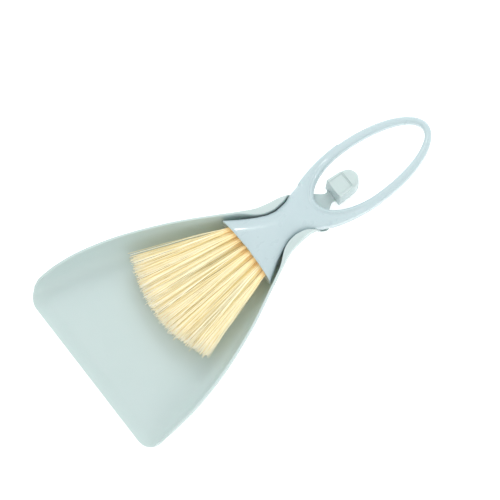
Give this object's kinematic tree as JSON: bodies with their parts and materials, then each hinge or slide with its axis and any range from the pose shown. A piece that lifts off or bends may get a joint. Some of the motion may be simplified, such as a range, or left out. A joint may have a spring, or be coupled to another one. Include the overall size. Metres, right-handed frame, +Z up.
{
  "type": "dustpan and brush",
  "caption": "Hand dustpan with scooped walls whose throat carries a flat fan brush; the brush's oval loop handle drops over an upright catch on the pan's neck.",
  "frame": {"origin": "on the surface that the pan stands on, under the middle of the whole set's length and width", "axes": "+X to the right of the pan, +Y from the pan's lip to the end of the brush's loop, +Z up"},
  "size_m": [0.149, 0.3024, 0.0273],
  "materials": {
    "pan_plastic": "satin",
    "handle_plastic": "satin",
    "block_plastic": "matte",
    "bristle": "matte",
    "staple_steel": "satin"
  },
  "bodies": {
    "dustpan": {"dustpan": "pan_plastic"},
    "brush": {"brush_handle": "handle_plastic", "bristle_block": "block_plastic", "tuft_row1_1": "bristle", "tuft_row1_2": "bristle", "tuft_row1_3": "bristle", "tuft_row1_4": "bristle", "tuft_row1_5": "bristle", "tuft_row1_6": "bristle", "tuft_row1_7": "bristle", "tuft_row1_8": "bristle", "tuft_row2_1": "bristle", "tuft_row2_2": "bristle", "tuft_row2_3": "bristle", "tuft_row2_4": "bristle", "tuft_row2_5": "bristle", "tuft_row2_6": "bristle", "tuft_row2_7": "bristle", "tuft_row3_1": "bristle", "tuft_row3_2": "bristle", "tuft_row3_3": "bristle", "tuft_row3_4": "bristle", "tuft_row3_5": "bristle", "tuft_row3_6": "bristle", "tuft_row3_7": "bristle", "tuft_row3_8": "bristle", "tuft_staples_row1": "staple_steel", "tuft_staples_row2": "staple_steel", "tuft_staples_row3": "staple_steel"}
  },
  "joints": [
    {"name": "brush_lift", "type": "slide", "parent": "dustpan", "child": "brush", "axis": [0, 0, 1], "range_m": [0, 0.08]}
  ]
}
